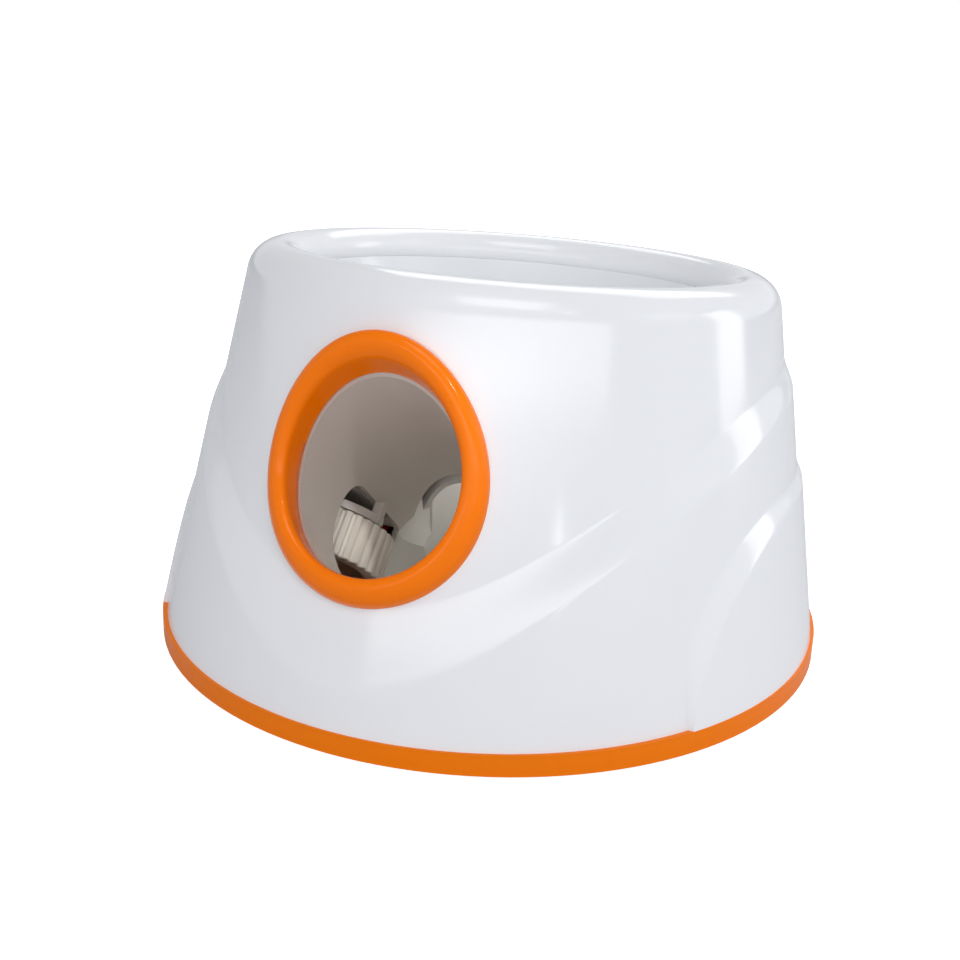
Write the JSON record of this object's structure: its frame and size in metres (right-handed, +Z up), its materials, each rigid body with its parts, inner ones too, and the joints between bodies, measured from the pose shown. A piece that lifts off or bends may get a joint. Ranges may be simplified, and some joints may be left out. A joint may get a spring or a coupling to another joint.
{
  "type": "automatic ball launcher",
  "caption": "Round free-standing ball launcher: a bowl feeds balls down a gated chute to driven wheels that throw them out of a raised tube.",
  "frame": {"origin": "centre of the round base, at the height of the surface that the feet stand on", "axes": "+Z up, -Y towards the side that the balls leave, +X to the launcher's left as seen from behind"},
  "size_m": [0.26, 0.26, 0.1546],
  "materials": {
    "shell_white": "glossy moulded ABS",
    "bowl_white": "glossy moulded ABS",
    "ring_orange": "glossy moulded ABS",
    "base_orange": "satin moulded ABS",
    "tube_grey": "satin moulded ABS",
    "duct_grey": "satin moulded ABS",
    "tray_dark": "textured ABS",
    "wheel_rubber": "matte ribbed rubber",
    "wheel_plastic": "moulded nylon",
    "steel": "ground steel",
    "screw_steel": "zinc plated",
    "motor_can": "plated steel can",
    "gate_orange": "moulded acetal",
    "servo_blue": "polished plastic",
    "sensor_dark": "tinted epoxy",
    "board_green": "solder mask",
    "chip_black": "moulded epoxy",
    "cap_sleeve": "shrunk sleeve",
    "socket_cream": "moulded nylon",
    "buzzer_black": "moulded plastic",
    "button_orange": "glossy moulded ABS",
    "lens_clear": "clear light pipe",
    "led_green": "tinted epoxy",
    "jack_black": "moulded nylon",
    "feet_rubber": "matte rubber",
    "cell_sleeve": null,
    "contact_metal": "nickel plated",
    "lead_red": "PVC insulation",
    "lead_black": "PVC insulation",
    "lead_grey": "PVC insulation"
  },
  "bodies": {
    "case": {"outer_shell": "shell_white", "hopper_bowl": "bowl_white", "outlet_ring": "ring_orange", "launch_tube": "tube_grey", "breech_block": "duct_grey", "feed_chute": "duct_grey", "base_pan": "base_orange", "rubber_feet": "feet_rubber", "battery_tray": "tray_dark", "battery_cells": "cell_sleeve", "contact_plates": "contact_metal", "contact_springs": "contact_metal", "left_motor": "motor_can", "right_motor": "motor_can", "motor_screws": "screw_steel", "gate_servo": "servo_blue", "ball_sensors": "sensor_dark", "control_board": "board_green", "board_chips": "chip_black", "board_capacitors": "cap_sleeve", "wire_sockets": "socket_cream", "buzzer": "buzzer_black", "switch_board": "board_green", "button_switch": "chip_black", "indicator_lens": "lens_clear", "indicator_led": "led_green", "dc_jack": "jack_black", "base_screws": "screw_steel", "bowl_screws": "screw_steel", "board_screws": "screw_steel", "motor_leads_red": "lead_red", "motor_leads_black": "lead_black", "sensor_leads": "lead_grey"},
    "left_wheel_set": {"left_wheel": "wheel_rubber", "left_wheel_cap": "wheel_plastic", "left_shaft": "steel"},
    "right_wheel_set": {"right_wheel": "wheel_rubber", "right_wheel_cap": "wheel_plastic", "right_shaft": "steel"},
    "gate": {"gate_arm": "gate_orange", "gate_screw": "screw_steel"},
    "button": {"power_button": "button_orange"},
    "cover": {"battery_cover": "base_orange"}
  },
  "joints": [
    {"name": "left_wheel_spin", "type": "hinge", "parent": "case", "child": "left_wheel_set", "pos_m": [-0.0465, -0.04599, 0.04208], "axis": [0, 0.6639, 0.7478], "continuous": true},
    {"name": "right_wheel_spin", "type": "hinge", "parent": "case", "child": "right_wheel_set", "pos_m": [0.0465, -0.04599, 0.04208], "axis": [0, 0.6639, 0.7478], "continuous": true},
    {"name": "gate_swing", "type": "hinge", "parent": "case", "child": "gate", "pos_m": [-0.026, 0.04098, 0.07293], "axis": [0, 0.0952, 0.9955], "range_deg": [0, 41]},
    {"name": "power_button_press", "type": "slide", "parent": "case", "child": "button", "axis": [0, -0.9955, 0.0952], "range_m": [0, 0.0012], "stiffness_N_per_m": 400, "springref_m": -0.0003},
    {"name": "battery_cover_swing", "type": "hinge", "parent": "case", "child": "cover", "pos_m": [0, 0.093, 0.0027], "axis": [1, 0, 0], "range_deg": [0, 75]}
  ]
}
